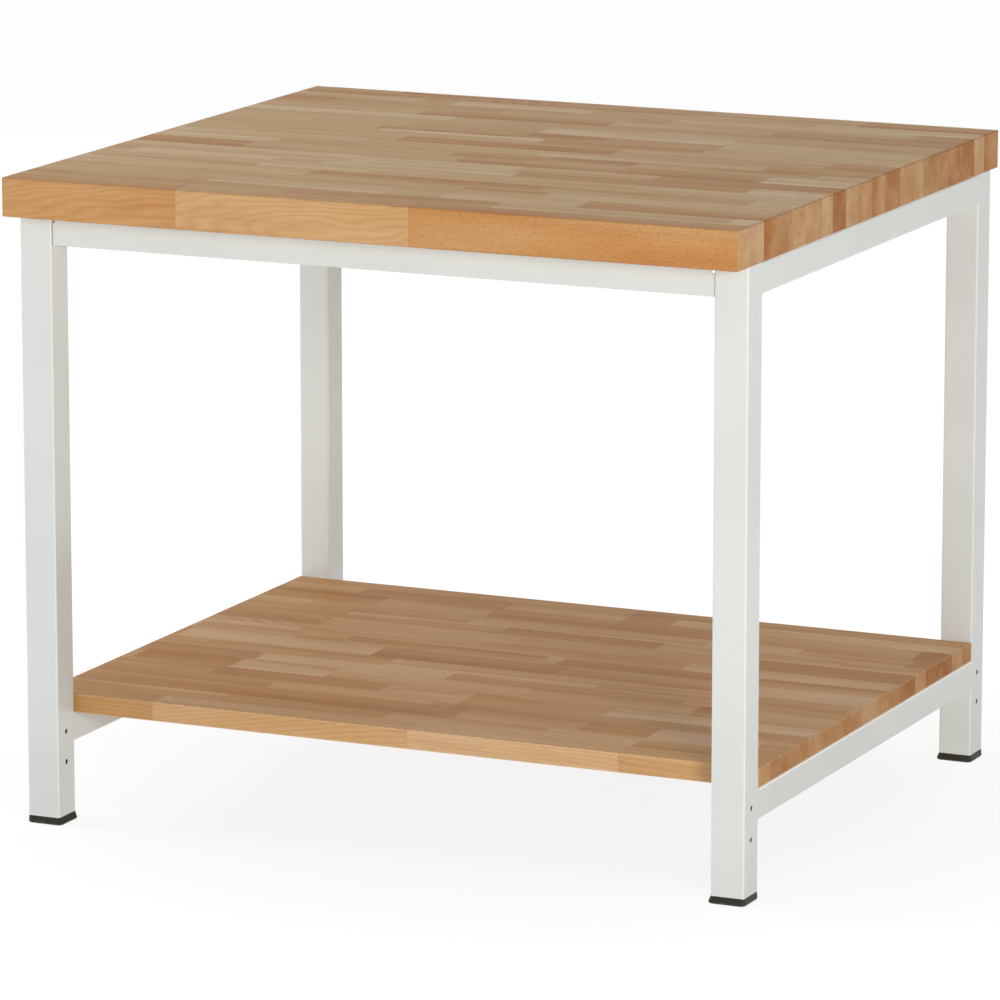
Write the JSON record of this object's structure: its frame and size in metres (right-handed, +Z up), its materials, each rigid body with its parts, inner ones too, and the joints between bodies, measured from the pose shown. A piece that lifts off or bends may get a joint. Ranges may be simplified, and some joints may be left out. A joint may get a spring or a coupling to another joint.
{
  "type": "workbench",
  "caption": "Free-standing workbench with a thick beech worktop and a lower beech shelf on a light grey square-tube steel frame with plastic feet.",
  "frame": {"origin": "on the floor below the middle of the worktop", "axes": "+X along the width to the right as seen from the front, +Y to the rear, +Z up"},
  "size_m": [1, 0.9, 0.845],
  "materials": {
    "beech": "oiled glued-up beech staves",
    "powder_coat": "light grey smooth powder coat",
    "foot_plastic": "black moulded plastic",
    "zinc_steel": "zinc plated"
  },
  "bodies": {
    "root": {"worktop": "beech", "shelf": "beech", "leg_front_left": "powder_coat", "leg_front_right": "powder_coat", "leg_rear_left": "powder_coat", "leg_rear_right": "powder_coat", "top_rail_left": "powder_coat", "top_rail_right": "powder_coat", "shelf_rail_left": "powder_coat", "shelf_rail_right": "powder_coat", "weld_seams_left": "powder_coat", "weld_seams_right": "powder_coat", "apron_front": "powder_coat", "apron_rear": "powder_coat", "foot_front_left": "foot_plastic", "foot_front_right": "foot_plastic", "foot_rear_left": "foot_plastic", "foot_rear_right": "foot_plastic", "rivet_nuts": "zinc_steel", "apron_bolts": "zinc_steel", "apron_washers": "zinc_steel", "apron_screws": "zinc_steel", "top_rail_screws": "zinc_steel", "shelf_screws": "zinc_steel"}
  },
  "joints": []
}
